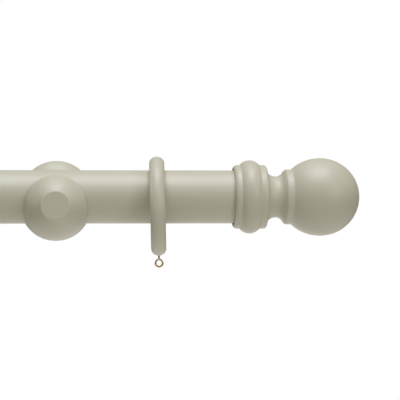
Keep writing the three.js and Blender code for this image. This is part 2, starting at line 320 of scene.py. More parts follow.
def painted_beech(name, grain):
    """Satin paint over beech whose grain is drawn out along one direction."""
    constants = {"IOR": 1.5, "Specular IOR Level": 0.5, "Diffuse Roughness": 0.2}
    material, tree, shader = new_material(name, constants)
    cloud = use_group(tree, drift, Size=55.0)
    lines = use_group(tree, pores, Stretch=grain, Size=0.9)
    rings = use_group(tree, tool_rings, Spacing=0.7)
    tooth = use_group(tree, drift, Size=0.9, Detail=2.0)
    edge_mark = add_node(tree, "ShaderNodeAttribute", attribute_name="edge").outputs["Fac"]
    bare_mark = add_node(tree, "ShaderNodeAttribute", attribute_name="bare").outputs["Fac"]
    # painted highlight: sharp edges are mixed towards a lighter paint, which also stands for thinner paint
    # there
    thin = use_group(tree, ragged_mask, Mark=edge_mark, Size=3.0, Raggedness=0.5)
    bare = use_group(tree, ragged_mask, Mark=bare_mark, Size=1.5, Raggedness=0.4)

    paint = mix_colours(tree, cloud, stone_deep, stone)
    paint = mix_colours(tree, times(tree, thin, edge_highlight_share), paint, edge_paint_and_highlight)
    wood = mix_colours(tree, lines, beech_pore, beech)
    tree.links.new(mix_colours(tree, bare, paint, wood), shader.inputs["Base Color"])

    gloss = calc(tree, "MULTIPLY_ADD", cloud, satin_drift, satin)
    gloss = calc(tree, "MULTIPLY_ADD", tooth, satin_tooth, gloss)
    rough = result_of(tree, "ShaderNodeMix", {0: bare, 2: gloss, 3: bare_roughness})
    tree.links.new(rough, shader.inputs["Roughness"])

    height = times(tree, rings, tool_height)
    height = calc(tree, "MULTIPLY_ADD", lines, pore_height, height)
    height = calc(tree, "MULTIPLY_ADD", tooth, tooth_height, height)
    bump(tree, shader, height, paint_relief)
    return material


grain_along_pole = (0.02, 1.0, 1.0)
grain_upright = (1.0, 1.0, 0.02)
paint_pole = painted_beech("painted beech, grain along the pole", grain_along_pole)
paint_upright = painted_beech("painted beech, upright grain", grain_upright)
print("paints:", paint_pole.name, "|", paint_upright.name)

# %% [markdown]
# ## Metals
# The eyes are brass wire, a little tarnished, with fine lines left by the drawing plate. The hidden screws
# are zinc plated steel, greyer and mottled.

# %% Brass and zinc plated steel
scratch_roughness = 0.1
scratch_relief = 0.008  # millimetres


def plated(name, bright, dull, smooth, rough, patch_size):
    """A metal whose tarnish changes its colour and its roughness together."""
    material, tree, shader = new_material(name, {"Metallic": 1.0})
    patches = use_group(tree, drift, Size=patch_size, Detail=4.0)
    scratches = use_group(tree, pores, Stretch=(1.0, 1.0, 0.1), Size=0.35)
    tarnish = result_of(tree, "ShaderNodeMapRange", {0: patches, 1: 0.35, 2: 0.7})
    tree.links.new(mix_colours(tree, tarnish, bright, dull), shader.inputs["Base Color"])
    roughness = calc(tree, "MULTIPLY_ADD", tarnish, rough - smooth, smooth)
    roughness = calc(tree, "MULTIPLY_ADD", scratches, scratch_roughness, roughness)
    tree.links.new(roughness, shader.inputs["Roughness"])
    bump(tree, shader, scratches, scratch_relief)
    return material


brass = plated(
    "drawn brass", bright=(0.78, 0.60, 0.33, 1.0), dull=(0.48, 0.35, 0.17, 1.0),
    smooth=0.18, rough=0.34, patch_size=3.0,
)
zinc = plated(
    "zinc plated steel", bright=(0.66, 0.67, 0.66, 1.0), dull=(0.42, 0.43, 0.44, 1.0),
    smooth=0.30, rough=0.48, patch_size=5.0,
)

# %% [markdown]
# ## The lathe
# This tree turns an outline round an axis, cuts screw threads, and carries marks from the outline to the
# surface. It lays out a grid with one column for each step of the turn and one row for each point of the
# outline, and moves every grid point to its place. Merging the doubles closes the seam and the axis.

# %% Build the lathe tree
marks = ("along", "edge", "bare", "thread")


def new_shaper(name, inputs):
    """An empty tree that takes a geometry and a material, and puts out a geometry."""
    ends = {"Geometry": "NodeSocketGeometry", **inputs, "Material": "NodeSocketMaterial"}
    return new_tree("GeometryNodeTree", name, ends, "Geometry", "NodeSocketGeometry")


def finish_tree(tree, given, result, shape):
    """The last steps of both trees: smooth shading, real geometry and the material."""
    smooth = result_of(tree, "GeometryNodeSetShadeSmooth", {"Geometry": shape})
    real = result_of(tree, "GeometryNodeRealizeInstances", {"Geometry": smooth})
    painted = add_node(tree, "GeometryNodeSetMaterial", {"Geometry": real, "Material": given["Material"]})
    tree.links.new(painted.outputs[0], result.inputs["Geometry"])


def thread_cut(tree, turn, along, pitch):
    """How far down the flank of a V thread a point is: 0 on the crest, 1 in the root."""
    phase = calc(tree, "SUBTRACT", turn, calc(tree, "DIVIDE", along, pitch))
    flank = calc(tree, "PINGPONG", calc(tree, "FRACT", phase), 0.5)
    return times(tree, flank, 2.0)


def build_lathe():
    """Turns an outline round the Z axis, and cuts a thread where the outline is marked for one."""
    tree, given, result = new_shaper("lathe", {"Sides": 96, "Thread Pitch": 1.0, "Thread Depth": 0.0})
    outline = given["Geometry"]
    size = add_node(tree, "GeometryNodeAttributeDomainSize", {"Geometry": outline}, component="MESH")
    rows = size.outputs["Point Count"]
    grid = {"Vertices X": calc(tree, "ADD", given["Sides"], 1), "Vertices Y": rows}
    sheet = add_node(tree, "GeometryNodeMeshGrid", grid).outputs["Mesh"]
    index = result_of(tree, "GeometryNodeInputIndex")
    by_rows = {0: index, 1: rows}
    column = result_of(tree, "FunctionNodeIntegerMath", by_rows, operation="DIVIDE_FLOOR")
    row = result_of(tree, "FunctionNodeIntegerMath", by_rows, operation="MODULO")

    def sample(field, kind):
        """Reads a field of the outline at a grid point's row."""
        asked = {"Geometry": outline, "Value": field, "Index": row}
        return add_node(tree, "GeometryNodeSampleIndex", asked, data_type=kind).outputs["Value"]

    turn = calc(tree, "DIVIDE", column, given["Sides"])
    angle = times(tree, turn, 2 * math.pi)
    point = sample(add_node(tree, "GeometryNodeInputPosition").outputs[0], "FLOAT_VECTOR")
    split = add_node(tree, "ShaderNodeSeparateXYZ", {0: point}).outputs
    read = {}
    on_points = {"data_type": "FLOAT", "domain": "POINT"}
    for mark in marks:
        named = add_node(tree, "GeometryNodeInputNamedAttribute", {"Name": mark}, data_type="FLOAT")
        read[mark] = sample(named.outputs["Attribute"], "FLOAT")
        kept = {"Geometry": sheet, "Name": mark, "Value": read[mark]}
        sheet = result_of(tree, "GeometryNodeStoreNamedAttribute", kept, **on_points)
    groove = thread_cut(tree, turn, split[2], given["Thread Pitch"])
    cut = times(tree, groove, read["thread"])
    cut = times(tree, cut, given["Thread Depth"])
    radius = calc(tree, "SUBTRACT", split[0], cut)
    place = {
        0: times(tree, radius, calc(tree, "COSINE", angle)),
        1: times(tree, radius, calc(tree, "SINE", angle)),
        2: split[2],
    }
    spot = result_of(tree, "ShaderNodeCombineXYZ", place)
    moved = result_of(tree, "GeometryNodeSetPosition", {"Geometry": sheet, "Position": spot})
    closed = result_of(tree, "GeometryNodeMergeByDistance", {"Geometry": moved, "Distance": 1e-6})
    finish_tree(tree, given, result, closed)
    return tree


lathe = build_lathe()
print("lathe:", len(lathe.nodes), "nodes")

# %% [markdown]
# ## Outlines
# An outline is a list of points: radius from the axis, and distance along it. Round stretches are arcs. Long
# runs are divided, and each point is marked with how far along it is and how sharp a corner it stands on.

# %% Outline helpers
def arc(radius, along, out_reach, ahead_reach, from_angle, to_angle, steps=16):
    """Part of an ellipse. 0 degrees is furthest from the axis, 90 is ahead."""
    angles = np.radians(np.linspace(from_angle, to_angle, steps + 1))
    return [(radius + out_reach * math.cos(a), along + ahead_reach * math.sin(a)) for a in angles]


def divided(points, longest):
    """The same outline with no step longer than the given length."""
    fine = [points[0]]
    for (r0, a0), (r1, a1) in zip(points, points[1:]):
        steps = max(1, math.ceil(math.hypot(r1 - r0, a1 - a0) / longest))
        for i in range(1, steps + 1):
            fine.append((r0 + (r1 - r0) * i / steps, a0 + (a1 - a0) * i / steps))
    return np.array(fine)


def corner_marks(points, length, reach=0.9):
    """How sharply the outline turns outwards near each point, 1 for a right angle."""
    before = [np.interp(length - reach, length, points[:, i]) for i in (0, 1)]
    after = [np.interp(length + reach, length, points[:, i]) for i in (0, 1)]
    back = points - np.stack(before, 1)
    ahead = np.stack(after, 1) - points
    cross = back[:, 0] * ahead[:, 1] - back[:, 1] * ahead[:, 0]
    along = (back * ahead).sum(1)
    return np.clip(np.arctan2(cross, along) / (math.pi / 2), 0.0, 1.0)


def write_marks(mesh, values):
    """Stores a number for each point of a mesh, under each mark's name."""
    for mark, numbers in values.items():
        layer = mesh.attributes.new(mark, "FLOAT", "POINT")
        layer.data.foreach_set("value", np.array(numbers, np.float32))


def outline_mesh(name, points, longest=3.0, bare=None, thread=None):
    """An outline as a chain of edges with its marks. bare and thread are tests on radius and distance."""
    fine = divided(points, longest)
    steps = np.hypot(*np.diff(fine, axis=0).T)
    length = np.concatenate([[0.0], np.cumsum(steps)])
    mesh = bpy.data.meshes.new(name)
    chain = [(i, i + 1) for i in range(len(fine) - 1)]
    mesh.from_pydata([(r * MM, 0.0, a * MM) for r, a in fine], chain, [])
    values = {
        "along": length,
        "edge": corner_marks(fine, length),
        "bare": [float(bool(bare and bare(r, a))) for r, a in fine],
        "thread": [float(bool(thread and thread(r, a))) for r, a in fine],
    }
    write_marks(mesh, values)
    return mesh


# %% Run a tree and keep the result as a plain mesh
def evaluated_mesh(piece):
    """A plain mesh of what a piece's modifiers make of it."""
    graph = bpy.context.evaluated_depsgraph_get()
    made = piece.evaluated_get(graph)
    return bpy.data.meshes.new_from_object(made, preserve_all_data_layers=True, depsgraph=graph)


def made_by(tree, name, source, material, place, **values):
    """Runs a tree on a source mesh. The result is a plain mesh, with its place in its points."""
    piece = add_object(name, source)
    modifier = piece.modifiers.new("tree", "NODES")
    modifier.node_group = tree
    values = {label.replace("_", " "): value for label, value in values.items()}
    values["Material"] = material
    for socket in tree.interface.items_tree:
        if socket.in_out == "INPUT" and socket.name in values:
            modifier[socket.identifier] = values[socket.name]
    mesh = evaluated_mesh(piece)
    piece.modifiers.remove(modifier)
    piece.data = mesh
    mesh.name = name
    mesh.transform(place)
    return piece


def turned(name, points, material, place, sides=128, longest=3.0, bare=None, thread=None,
           pitch=1.0, depth=0.0):
    """A piece off the lathe. Lengths are in millimetres."""
    source = outline_mesh(name + " outline", points, longest, bare, thread)
    sizes = {"Sides": sides, "Thread_Pitch": pitch * MM, "Thread_Depth": depth * MM}
    return made_by(lathe, name, source, material, place, **sizes)


def at(x, y, z):
    """A place, in millimetres."""
    return Matrix.Translation(Vector((x, y, z)) * MM)


along_x = Matrix.Rotation(math.radians(90), 4, "Y")
against_x = Matrix.Rotation(math.radians(-90), 4, "Y")
out_of_wall = Matrix.Rotation(math.radians(90), 4, "X")


def drilled(piece, *drills):
    """Takes each drill's shape out of a piece. The cut face keeps the drill's own marks."""
    for drill in drills:
        modifier = piece.modifiers.new("drill", "BOOLEAN")
        modifier.operation = "DIFFERENCE"
        modifier.solver = "MANIFOLD"
        modifier.object = drill
    mesh = evaluated_mesh(piece)
    piece.modifiers.clear()
    piece.data = mesh
    for drill in drills:
        bpy.data.objects.remove(drill)
    return piece


def soften(piece, sharp_above=40.0):
    """Shades a piece smooth, with sharp edges only where it turns by more than an angle."""
    mesh = piece.data
    mesh.polygons.foreach_set("use_smooth", [True] * len(mesh.polygons))
    mesh.set_sharp_from_angle(angle=math.radians(sharp_above))


def wears(piece, body, slot, *nodes):
    """Says what a finished piece rides on and which plain solids it stands for. The slot, its finish, is not
    used.
    """
    soften(piece)
    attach(piece, body)
    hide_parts(*nodes)
    print(f"{piece.name}: {len(piece.data.polygons)} faces on {body}")


sides_of_set = (("left", -1), ("right", 1))


def turned_pair(name, node, body, slot, outline, material, place, **options):
    """The left and right copies of a turned piece. place gives where each goes, from its side's sign."""
    for side, sign in sides_of_set:
        piece = turned(f"{side}_{name}", outline, material, place(sign), **options)
        wears(piece, body.format(side=side), slot, f"{side}_{node}")


# %% [markdown]
# ## The pole
# A round, painted dowel. Its ends are bare where they go into the finials, with a hole for the screw that
# holds each finial, and it has a small hole below over each bracket.

# %% Turn the pole
dowel_radius = 4.0
dowel_in_pole = 28.0
end_round = 1.5
pole_screw_radius = 1.8
pole_screw_in_pole = 10.0
dowel_hole = dowel_radius + clearance
hole_bottom = pole_end - dowel_in_pole - clearance
socket_depth = pole_end - collar_face
bare_from = 5.0  # how far inside a socket the paint reaches
painted_rim = 1.0  # how far the paint reaches in over a flat face
pilot_overshoot = 5.0


def always(radius, along):
    """The test for a cutter, which leaves only bare wood."""
    return True


def pole_is_bare(radius, along):
    """The ends, as far as the finials cover them, and the screw holes."""
    return radius < pole_radius - end_round - painted_rim or abs(along) > collar_face + bare_from


pole_outline = [
    (0, -hole_bottom),
    (dowel_hole, -hole_bottom),
    (dowel_hole, -pole_end),
    *arc(pole_radius - end_round, -pole_end + end_round, end_round, end_round, -90, 0, 6),
    *arc(pole_radius - end_round, pole_end - end_round, end_round, end_round, 0, 90, 6),
    (dowel_hole, pole_end),
    (dowel_hole, hole_bottom),
    (0, hole_bottom),
]
lying = at(0, -wall_gap, 0) @ along_x
pole = turned("curtain_pole", pole_outline, paint_pole, lying, sides=160, longest=8.0, bare=pole_is_bare)


def drill_bit(name, radius, low, high, place, sides=32):
    """A plain cutter. Whatever it cuts is bare wood."""
    rod = [(0, low), (radius, low), (radius, high), (0, high)]
    return turned(name, rod, paint_upright, place, sides, longest=50.0, bare=always)


pilot_low = -pole_radius - pilot_overshoot
pilot_high = -pole_radius + pole_screw_in_pole + clearance
pilots = [
    drill_bit("pilot", pole_screw_radius + clearance, pilot_low, pilot_high, at(x, -wall_gap, 0))
    for x in (-bracket_x, bracket_x)
]
wears(drilled(pole, *pilots), "pole", "painted_wood", "pole")

# %% [markdown]
# ## The wall plates
# A turned disc whose rounded face rises from a thin rim to the flat that the cup stands on. Two countersunk
# holes take wall screws, and a blind hole takes the bolt that carries the cup.

# %% Turn and drill the wall plates
plate_round = 25.0  # radius of the rounded face
plate_round_from, plate_round_to = 25.0, 60.0
plate_ease = 0.5
plate_paint = 1.5  # how far the paint reaches in over the plate's back
hair = 0.01  # less than any step of an outline
overshoot = 1.0  # of a drill past the face it cuts
wall_screw_radius = 2.4
wall_screw_head = 4.7
wall_screw_spread = 15.0
wall_screw_rise = 13.0
bolt_radius = 4.0
bolt_in_plate = 11.0
bolt_in_cup = 30.0
bolt_hole = bolt_radius + clearance
round_middle = plate_radius - plate_round * math.cos(math.radians(plate_round_from))
round_base = plate_thickness - plate_round * math.sin(math.radians(plate_round_to))

plate_outline = [
    (0, 0),
    (plate_radius - plate_ease, 0),
    (plate_radius, plate_ease),
    *arc(round_middle, round_base, plate_round, plate_round, plate_round_from, plate_round_to, 24),
    (0, plate_thickness),
]
sink_outline = [
    (0, -overshoot),
    (wall_screw_radius, -overshoot),
    (wall_screw_radius, plate_thickness - wall_screw_head + wall_screw_radius),
    (wall_screw_head + overshoot, plate_thickness + overshoot),
    (0, plate_thickness + overshoot),
]


def plate_is_bare(radius, along):
    """The back, all but its rim."""
    return along < hair and radius < plate_radius - plate_paint


def wall_plate(side, x):
    """One plate. Its two screw holes and its bolt hole are cut from the front."""
    name = f"{side}_turned_wall_plate"
    standing = at(x, 0, 0) @ out_of_wall
    plate = turned(name, plate_outline, paint_upright, standing, longest=2.0, bare=plate_is_bare)
    drills = []
    for away in (-wall_screw_spread, wall_screw_spread):
        spot = at(x + away, 0, wall_screw_rise) @ out_of_wall
        sink = turned("countersink", sink_outline, paint_upright, spot, sides=48, longest=4.0, bare=always)
        drills.append(sink)
    bolt_start = plate_thickness - bolt_in_plate - clearance
    spot = at(x, 0, -cup_drop) @ out_of_wall
    drills.append(drill_bit("bolt hole", bolt_hole, bolt_start, plate_thickness + overshoot, spot))
    wears(drilled(plate, *drills), "brackets", "painted_wood", f"{side}_wall_plate")


for side, sign in sides_of_set:
    wall_plate(side, sign * bracket_x)

# %% [markdown]
# ## The cups
# A cup is a turned ball with a flat boss in front and a neck behind, slotted across so that the pole drops
# in from above. Cutting one mesh with another leaves knife edges, but the real slot is sanded. So the cup is
# a distance field, which says for every point of space how far it is from the surface. The slot is cut with
# a soft maximum, which rounds every edge alike, and a volume grid turns the field into a mesh.

# %% The cup's outline
boss_radius = 14.4
boss_round = 2.0
neck_radius = 14.0
neck_from_wall = 40.0
foot_radius = 16.5
foot_length = 7.0
front_reach = pole_radius + 24.0
back_reach = pole_radius + 14.0
slot_radius = pole_radius + clearance

hollow_end = (cup_radius + neck_radius) / 2
hollow_end_at = wall_gap - back_reach * math.sqrt(1 - (hollow_end / cup_radius) ** 2)
foot_end = foot_start + foot_length
foot_bead = foot_length / 2
foot_middle = foot_radius - foot_bead
foot_hollow = neck_radius - foot_radius + foot_bead
hollow_angle = -math.degrees(math.acos(hollow_end / cup_radius))
boss_angle = math.degrees(math.acos(boss_radius / cup_radius))
cup_outline = [
    (0, foot_start),
    (foot_middle, foot_start),
    *arc(foot_middle, foot_start + foot_bead, foot_bead, foot_bead, -80, 80, 14),
    *arc(foot_middle, neck_from_wall, foot_hollow, neck_from_wall - foot_end, -70, 0, 14),
    *arc(hollow_end, neck_from_wall, neck_radius - hollow_end, hollow_end_at - neck_from_wall, 8, 90, 14),
    *arc(0, wall_gap, cup_radius, back_reach, hollow_angle + 4, 0, 20),
    *arc(0, wall_gap, cup_radius, front_reach, 3, boss_angle, 28),
    *arc(boss_radius - boss_round, boss_face - boss_round, boss_round, boss_round, 0, 90, 6),
    (0, boss_face),
]

# %% Distance from the cup's surface
table_step = 0.25
table_wider, table_longer = 6, 4  # how far the table reaches past the cup
table_stop = 1.001  # entries short of the table's end, so that a next entry exists
table_radius = np.arange(0.0, cup_radius + table_wider, table_step)
table_along = np.arange(foot_start - table_longer, boss_face + table_longer, table_step)


def outline_distance(outline, radius, along):
    """Distance from points of the half plane to a turned outline, less than zero inside the wood."""
    nearest = np.full(radius.shape, 1e9)
    inside = np.zeros(radius.shape, bool)
    for (r0, a0), (r1, a1) in zip(outline, outline[1:]):
        dr, da = r1 - r0, a1 - a0
        share = np.clip(((radius - r0) * dr + (along - a0) * da) / max(dr * dr + da * da, 1e-12), 0, 1)
        nearest = np.minimum(nearest, np.hypot(radius - r0 - share * dr, along - a0 - share * da))
        if da != 0:
            reach = r0 + (along - a0) * dr / da
            inside ^= ((a0 > along) != (a1 > along)) & (radius < reach)
    return np.where(inside, -nearest, nearest)


table = outline_distance(cup_outline, *np.meshgrid(table_radius, table_along, indexing="ij"))


def turned_distance(radius, along):
    """The same distance read from the table, between its entries."""
    i = np.clip(radius / table_step, 0, len(table_radius) - table_stop)
    j = np.clip((along - table_along[0]) / table_step, 0, len(table_along) - table_stop)
    i0, j0 = i.astype(int), j.astype(int)
    u, v = i - i0, j - j0
    low = table[i0, j0] * (1 - v) + table[i0, j0 + 1] * v
    high = table[i0 + 1, j0] * (1 - v) + table[i0 + 1, j0 + 1] * v
    return low * (1 - u) + high * u


def sanded(first, second, width):
    """The larger of two distances, rounded where they meet."""
    blend = np.maximum(width - np.abs(first - second), 0) / width
    return np.maximum(first, second) + blend * blend * width / 4


head_room = 4.6  # radius of the recess for the pole screw's head
head_recess = 3.2
slot_edge = 0.8  # how wide the sanded edge of the slot is
hole_edge = 1.0


def cup_parts(x, y, z):
    """Distances to the turned body and to the slot, for a cup at x = 0."""
    body = turned_distance(np.hypot(x, z + cup_drop), -y)
    slot = np.hypot(y + wall_gap, np.minimum(z, 0)) - slot_radius
    return body, slot


def cup_distance(x, y, z):
    """Distance to the finished cup, less its slot, bolt hole, and screw hole with its recess."""
    body, slot = cup_parts(x, y, z)
    cup = sanded(body, -slot, slot_edge)
    bolt = np.maximum(np.hypot(x, z + cup_drop) - bolt_hole, -y - plate_thickness - bolt_in_cup)
    middle = np.hypot(x, y + wall_gap)
    recess = np.maximum(middle - head_room, z + cup_drop + cup_radius - head_recess)
    screw = np.maximum(middle - pole_screw_radius - clearance, z)
    for hole in (bolt, recess, screw):
        cup = sanded(cup, -hole, hole_edge)
    return cup


# %% Turn the field into a mesh
voxel = 0.7
margin = 3 * voxel
nudge = 0.05  # the step that measures the field's slope
polish_rounds = 3  # how often each point is pulled onto the true surface
least_steepness = 0.25


def cup_mesh():
    """Vertices and faces of the cup at x = 0, in millimetres."""
    axes = [
        np.arange(-cup_radius - margin, cup_radius + margin, voxel),
        np.arange(-boss_face - margin, -foot_start + margin, voxel),
        np.arange(-cup_drop - cup_radius - margin, -cup_drop + cup_radius + margin, voxel),
    ]
    field = cup_distance(*np.meshgrid(*axes, indexing="ij")).astype(np.float32)
    grid = openvdb.FloatGrid(margin)
    grid.copyFromArray(field)
    points, faces = grid.convertToQuads(isovalue=0.0)[:2]
    points = np.array(points, float) * voxel + [axis[0] for axis in axes]
    for _ in range(polish_rounds):
        here = cup_distance(*points.T)
        slope = np.stack([
            (cup_distance(*(points + step).T) - cup_distance(*(points - step).T)) / (2 * nudge)
            for step in np.eye(3) * nudge
        ], 1)
        steepness = np.maximum((slope ** 2).sum(1), least_steepness)
        points -= slope * (here / steepness)[:, None]
    return points, np.array(faces)


cup_points, cup_faces = cup_mesh()
print("cup:", len(cup_points), "points,", len(cup_faces), "faces")

# %% Mark and place the cups
rim_strength, rim_reach = 1.4, 2.0  # the lighter paint along the slot's edge: a painted highlight, and thinner paint
boss_strength, boss_reach = 1.3, 1.5  # and round the boss
below_skin, behind_slot = 1.0, 0.8  # how deep a point lies when it is inside a hole


def cup_marks(points):
    """Marks for the paint: how far along the turned outline, the sanded edges, and the bare holes."""
    x, y, z = points.T
    body, slot = cup_parts(x, y, z)
    rim = np.clip(rim_strength - np.abs(body + slot) / rim_reach, 0, 1)
    boss = np.hypot(np.hypot(x, z + cup_drop) - boss_radius, -y - boss_face)
    inside_hole = (body < -below_skin) & (slot > behind_slot)
    return {
        "along": np.hypot(x, z + cup_drop) - y,
        "edge": np.maximum(rim, np.clip(boss_strength - boss / boss_reach, 0, 1)),
        "bare": inside_hole.astype(float),
        "thread": np.zeros(len(points)),
    }


def cup(side, x):
    """One cup, with its faces turned outwards."""
    mesh = bpy.data.meshes.new(f"{side}_slotted_cup")
    mesh.from_pydata((cup_points + [x, 0, 0]) * MM, [], cup_faces.tolist())
    write_marks(mesh, cup_marks(cup_points))
    mesh.materials.append(paint_upright)
    shape = bmesh.new()
    shape.from_mesh(mesh)
    bmesh.ops.recalc_face_normals(shape, faces=shape.faces)
    shape.to_mesh(mesh)
    shape.free()
    wears(add_object(mesh.name, mesh), "brackets", "painted_wood", f"{side}_cup")


for side, sign in sides_of_set:
    cup(side, sign * bracket_x)

# %% [markdown]
# ## The finials
# A finial has a socket that slips over the pole's end, a collar with a fat bead, a shoulder that drops into
# a hollow neck, a thin neck ring and the ball. Every length is measured from the face of the collar.

# %% The finial's outline
collar_wall = 5.1
rim_wall = 1.9
rim_length = 4.3
bead_middle = 15.5
bead_round = 11.6  # radius of the bead's arc
bead_height = 4.5
shoulder_length = 3.7
shoulder_ease = 2.8
shoulder_drop = 2.2
cove_middle = 40.4
cove_radius = 19.45
cove_inner_round, cove_inner_reach = 10.5, 7.6  # the hollow on the collar's side
cove_outer_round, cove_outer_reach = 8.0, 7.15  # the hollow on the ball's side
neck_ring_radius = 26.0
neck_ring_start, neck_ring_end = 48.4, 54.9
neck_ring_ease = 2.6
neck_ring_drop = 1.8
ball_inner_reach = 39.0
ball_centre = 83.0
dowel_in_finial = 28.0
mouth_width, mouth_depth = 1.2, 2.2  # the small rebate at the mouth of the socket
mouth_slope = 1  # along its inner end
mouth_ease = 0.3

mouth_radius = slot_radius + mouth_width - mouth_ease
collar_radius = pole_radius + collar_wall
rim_radius = pole_radius + rim_wall
rim_round = collar_radius - rim_radius
ball_outer_reach = finial_length - ball_centre
finial_hole_bottom = socket_depth + dowel_in_finial + clearance
bead_half = math.sqrt(bead_round ** 2 - (bead_round - bead_height) ** 2)
bead_angle = math.degrees(math.asin(bead_half / bead_round))
bead_centre = collar_radius + bead_height - bead_round
shoulder_end = bead_middle + bead_half + shoulder_length
inner_angle = math.degrees(math.asin(cove_inner_reach / cove_inner_round))
outer_angle = math.degrees(math.asin(cove_outer_reach / cove_outer_round))
inner_centre = cove_radius + cove_inner_round
outer_centre = cove_radius + cove_outer_round
ring_shoulder = neck_ring_radius - neck_ring_drop
ball_join = -math.degrees(math.acos(neck_ring_radius / ball_radius))

finial_outline = [
    (0, finial_hole_bottom),
    (dowel_hole, finial_hole_bottom),
    (dowel_hole, socket_depth + clearance),
    (slot_radius, socket_depth + clearance),
    (slot_radius, mouth_depth),
    (mouth_radius, mouth_depth - mouth_slope),
    (mouth_radius, mouth_ease),
    (slot_radius + mouth_width, 0),
    *arc(rim_radius, rim_length, rim_round, rim_length, -80, 0, 12),
    *arc(bead_centre, bead_middle, bead_round, bead_round, -bead_angle, bead_angle, 36),
    *arc(collar_radius - shoulder_drop, shoulder_end, shoulder_drop, shoulder_ease, 0, 90, 8),
    *arc(inner_centre, cove_middle, -cove_inner_round, cove_inner_round, -inner_angle, 0, 16),
    *arc(outer_centre, cove_middle, -cove_outer_round, cove_outer_round, 6, outer_angle, 14),
    *arc(ring_shoulder, neck_ring_start + neck_ring_ease, neck_ring_drop, neck_ring_ease, -90, 0, 8),
    (neck_ring_radius, neck_ring_end),
    *arc(0, ball_centre, ball_radius, ball_inner_reach, ball_join + 1, 0, 32),
    *arc(0, ball_centre, ball_radius, ball_outer_reach, 3, 90, 32),
]


def finial_is_bare(radius, along):
    """The socket and the screw hole, but not the neck, which is as thin."""
    in_socket = radius < slot_radius + hair and bare_from < along < socket_depth + clearance + hair
    in_hole = radius < dowel_hole + hair and along < finial_hole_bottom + hair
    return in_socket or in_hole


# %% Turn the finials
def on_pole(distance):
    """Places on the pole's axis that face outwards, at a distance from the pole's middle."""
    return lambda sign: at(sign * distance, -wall_gap, 0) @ (along_x if sign > 0 else against_x)


turned_pair(
    "ball_finial", "finial", "{side}_finial", "painted_wood", finial_outline, paint_pole,
    on_pole(collar_face), sides=160, longest=1.5, bare=finial_is_bare,
)

# %% [markdown]
# ## Screws
# Threads come from the same lathe: where the outline is marked, the tree cuts a V groove that climbs one
# pitch for each turn. Most screws are hidden until a finial is unscrewed or the screw below a cup is drawn.

# %% Dowel screws, one in each finial joint
wood_pitch = 3.5
wood_depth = 1.1
dowel_point = 5.0
dowel_waist = 2.0  # half the length of the plain part
dowel_tip = 0.4
waist_step, waist_slope = 0.6, 0.4
thread_runout = 0.3
core_radius = 0.5  # nothing nearer the axis is threaded


def threaded(low, high):
    """A test that marks the outline between two distances as thread."""
    return lambda radius, along: low <= along <= high and radius > core_radius


dowel_screw_outline = [
    (0, -dowel_in_pole),
    (dowel_tip, -dowel_in_pole),
    (dowel_radius, -dowel_in_pole + dowel_point),
    (dowel_radius, -dowel_waist),
    (dowel_radius - waist_step, -dowel_waist + waist_slope),
    (dowel_radius - waist_step, dowel_waist - waist_slope),
    (dowel_radius, dowel_waist),
    (dowel_radius, dowel_in_finial - dowel_point),
    (dowel_tip, dowel_in_finial),
    (0, dowel_in_finial),
]


def dowel_is_threaded(radius, along):
    """All of it but the waist and the two points."""
    return dowel_waist < abs(along) < dowel_in_pole - thread_runout


turned_pair(
    "threaded_dowel_screw", "dowel_screw", "{side}_dowel_screw", "zinc_steel", dowel_screw_outline, zinc,
    on_pole(pole_end), sides=40, longest=0.3,
    thread=dowel_is_threaded, pitch=wood_pitch, depth=wood_depth,
)

# %% Hanger bolts, one between each plate and its cup
machine_pitch = 1.25
machine_depth = 0.5
bolt_chamfer = 0.8
bolt_runout = 0.4
bolt_from = plate_thickness - bolt_in_plate
bolt_to = plate_thickness + bolt_in_cup
bolt_outline = [
    (0, bolt_from),
    (bolt_radius - bolt_chamfer, bolt_from),
    (bolt_radius, bolt_from + bolt_chamfer),
    (bolt_radius, bolt_to - bolt_radius),
    (dowel_tip, bolt_to),
    (0, bolt_to),
]
turned_pair(
    "threaded_hanger_bolt", "hanger_bolt", "brackets", "zinc_steel", bolt_outline, zinc,
    lambda sign: at(sign * bracket_x, 0, -cup_drop) @ out_of_wall, sides=32, longest=0.25,
    thread=threaded(bolt_from, bolt_to - bolt_runout), pitch=machine_pitch, depth=machine_depth,
)

# %% Pole screws, below the cups
screw_seat = -cup_drop - cup_radius + head_recess - clearance
screw_tip = -pole_radius + pole_screw_in_pole
screw_head_radius = 3.8
screw_head_height = 2.6
head_rim = 0.4
screw_low = screw_seat - head_rim - screw_head_height
shank_radius = pole_screw_radius * 0.8  # of the plain part
shank_end, shank_thread = 8, 8.6  # above the seat
pole_screw_point = 0.1
pole_screw_pitch, pole_screw_depth = 1.6, 0.5
pole_screw_runout = 0.2
slot_length, slot_width, slot_depth = 20, 0.9, 1.3
pole_screw_outline = [
    *arc(0, screw_seat - head_rim, screw_head_radius, screw_head_height, -90, 0, 16),
    (screw_head_radius, screw_seat),
    (shank_radius, screw_seat),
    (shank_radius, screw_seat + shank_end),
    (pole_screw_radius, screw_seat + shank_thread),
    (pole_screw_radius, screw_tip - 2 * pole_screw_radius),
    (pole_screw_point, screw_tip),
    (0, screw_tip),
]


def bar_cutter(name, size, middle, material):
    """A bar that cuts the slot of a screw head."""
    mesh = bpy.data.meshes.new(name)
    shape = bmesh.new()
    bmesh.ops.create_cube(shape, size=1.0)
    shape.transform(Matrix.Translation(Vector(middle) * MM) @ Matrix.Diagonal((*(Vector(size) * MM), 1.0)))
    shape.to_mesh(mesh)
    shape.free()
    mesh.materials.append(material)
    return add_object(name, mesh)


for side, sign in sides_of_set:
    x = sign * bracket_x
    piece = turned(
        f"{side}_slotted_pole_screw", pole_screw_outline, brass, at(x, -wall_gap, 0),
        sides=32, longest=0.3, pitch=pole_screw_pitch, depth=pole_screw_depth,
        thread=threaded(screw_seat + shank_thread, screw_tip - pole_screw_runout),
    )
    bar_size = (slot_length, slot_width, 2 * slot_depth)
    bar = bar_cutter("driver slot", bar_size, (x, -wall_gap, screw_low), brass)
    wears(drilled(piece, bar), f"{side}_pole_screw", "brass", f"{side}_pole_screw")

